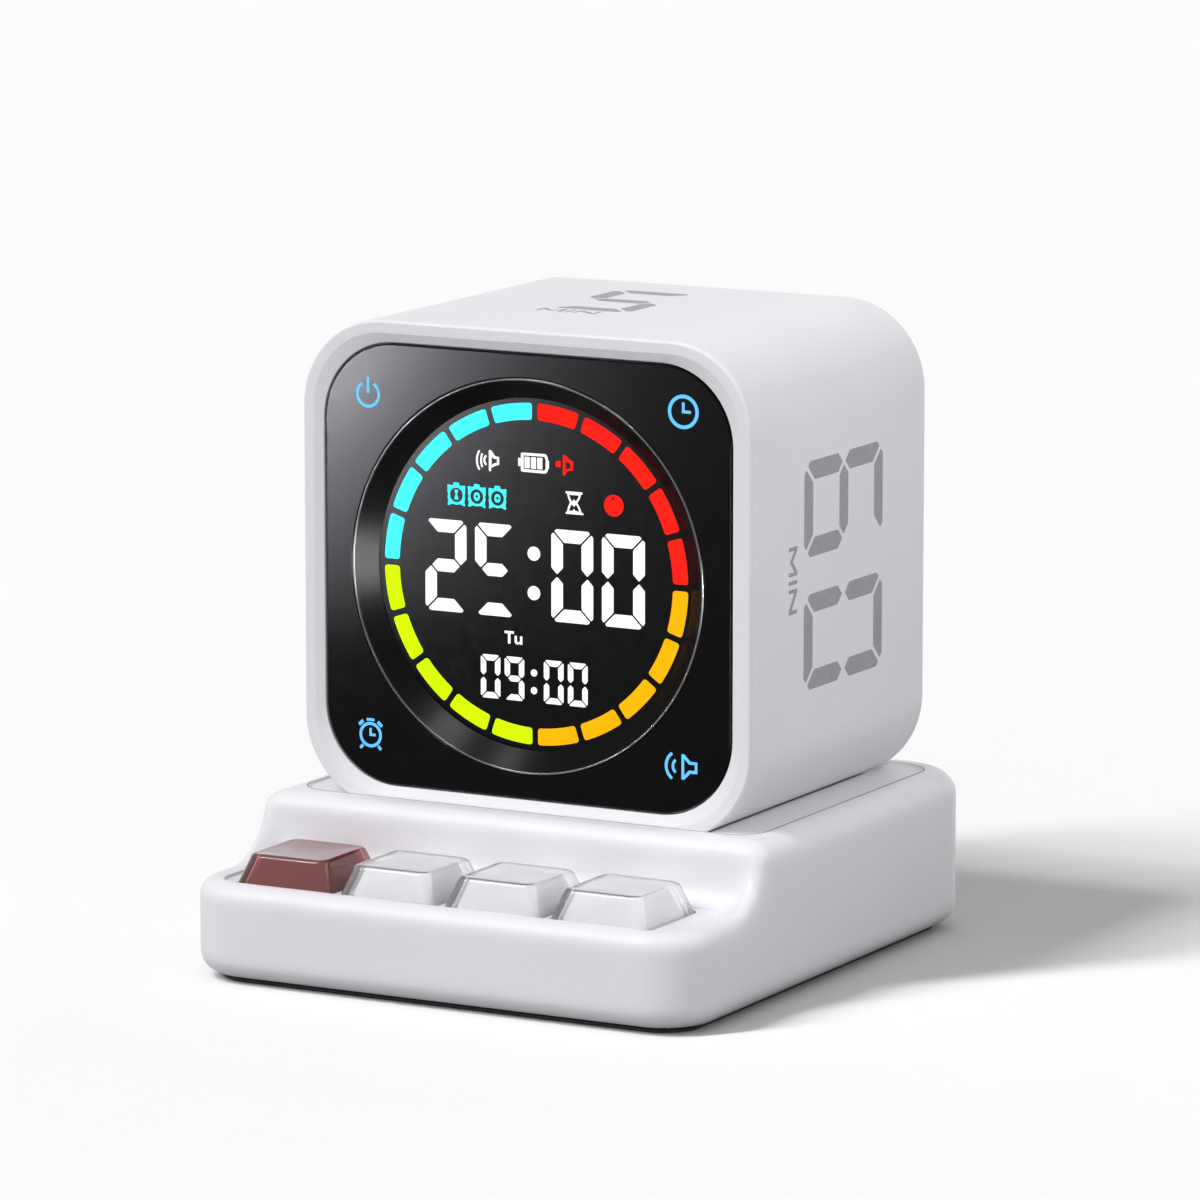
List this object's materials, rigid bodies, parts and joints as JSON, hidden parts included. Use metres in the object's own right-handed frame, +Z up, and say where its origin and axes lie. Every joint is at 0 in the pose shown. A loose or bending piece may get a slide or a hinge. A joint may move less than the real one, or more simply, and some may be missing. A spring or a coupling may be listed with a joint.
{
  "type": "cube timer",
  "caption": "Cube countdown timer with a round segment display, standing in a shallow dock on a stepped base with a row of sprung keys.",
  "frame": {"origin": "middle of the base's footprint, on the surface that it stands on", "axes": "+Z up, +Y from the keys to the back, +X to the right of someone facing the display"},
  "size_m": [0.0932, 0.1014, 0.1045],
  "materials": {
    "white_plastic": "satin moulded",
    "dark_rubber": "matte",
    "black_gloss": "gloss",
    "smoked_window": "satin smoked",
    "red_cap": "clear gloss",
    "clear_cap": "clear gloss",
    "maroon_core": "satin",
    "white_core": "satin",
    "stem_red": "satin",
    "spring_steel": "drawn",
    "switch_black": "matte",
    "plate_steel": "brushed",
    "screw_steel": "zinc plated",
    "light_box_white": "matte",
    "board_green": "solder mask",
    "chip_black": "matte",
    "battery_silver": "foil",
    "speaker_black": "matte",
    "socket_steel": "satin",
    "display_white": "lit",
    "display_cyan": "lit",
    "display_red": "lit",
    "display_amber": "lit",
    "display_lime": "lit",
    "display_dim": "unlit",
    "icon_blue": "lit",
    "print_grey": "printed ink"
  },
  "bodies": {
    "base": {"base_shell": "white_plastic", "bottom_cover": "white_plastic", "foot_pad": "dark_rubber", "switch_plate": "plate_steel", "base_screw_1": "screw_steel", "base_screw_2": "screw_steel", "base_screw_3": "screw_steel", "base_screw_4": "screw_steel", "switch_base_1": "switch_black", "switch_base_2": "switch_black", "switch_base_3": "switch_black", "switch_base_4": "switch_black", "switch_cover_1": "switch_black", "switch_cover_2": "switch_black", "switch_cover_3": "switch_black", "switch_cover_4": "switch_black", "switch_spring_1": "spring_steel", "switch_spring_2": "spring_steel", "switch_spring_3": "spring_steel", "switch_spring_4": "spring_steel"},
    "key_1": {"keycap_shell_1": "red_cap", "keycap_core_1": "maroon_core", "switch_stem_1": "stem_red"},
    "key_2": {"keycap_shell_2": "clear_cap", "keycap_core_2": "white_core", "switch_stem_2": "stem_red"},
    "key_3": {"keycap_shell_3": "clear_cap", "keycap_core_3": "white_core", "switch_stem_3": "stem_red"},
    "key_4": {"keycap_shell_4": "clear_cap", "keycap_core_4": "white_core", "switch_stem_4": "stem_red"},
    "cube": {"cube_shell": "white_plastic", "front_bezel": "white_plastic", "front_panel": "black_gloss", "dial_ring": "black_gloss", "display_window": "smoked_window", "light_box": "light_box_white", "display_board": "board_green", "main_board": "board_green", "tilt_sensor": "chip_black", "battery": "battery_silver", "speaker": "speaker_black", "rear_cover": "white_plastic", "charging_socket": "socket_steel", "cube_screw_1": "screw_steel", "cube_screw_2": "screw_steel", "cube_screw_3": "screw_steel", "cube_screw_4": "screw_steel"}
  },
  "joints": [
    {"name": "key_1_press", "type": "slide", "parent": "base", "child": "key_1", "axis": [0, 0, -1], "range_m": [0, 0.003], "stiffness_N_per_m": 80, "springref_m": -0.0044, "deforming": ["switch_spring_1"]},
    {"name": "key_2_press", "type": "slide", "parent": "base", "child": "key_2", "axis": [0, 0, -1], "range_m": [0, 0.003], "stiffness_N_per_m": 80, "springref_m": -0.0044, "deforming": ["switch_spring_2"]},
    {"name": "key_3_press", "type": "slide", "parent": "base", "child": "key_3", "axis": [0, 0, -1], "range_m": [0, 0.003], "stiffness_N_per_m": 80, "springref_m": -0.0044, "deforming": ["switch_spring_3"]},
    {"name": "key_4_press", "type": "slide", "parent": "base", "child": "key_4", "axis": [0, 0, -1], "range_m": [0, 0.003], "stiffness_N_per_m": 80, "springref_m": -0.0044, "deforming": ["switch_spring_4"]},
    {"name": "cube_lift", "type": "slide", "parent": "base", "child": "cube", "axis": [0, 0, 1], "range_m": [0, 0.06]}
  ]
}
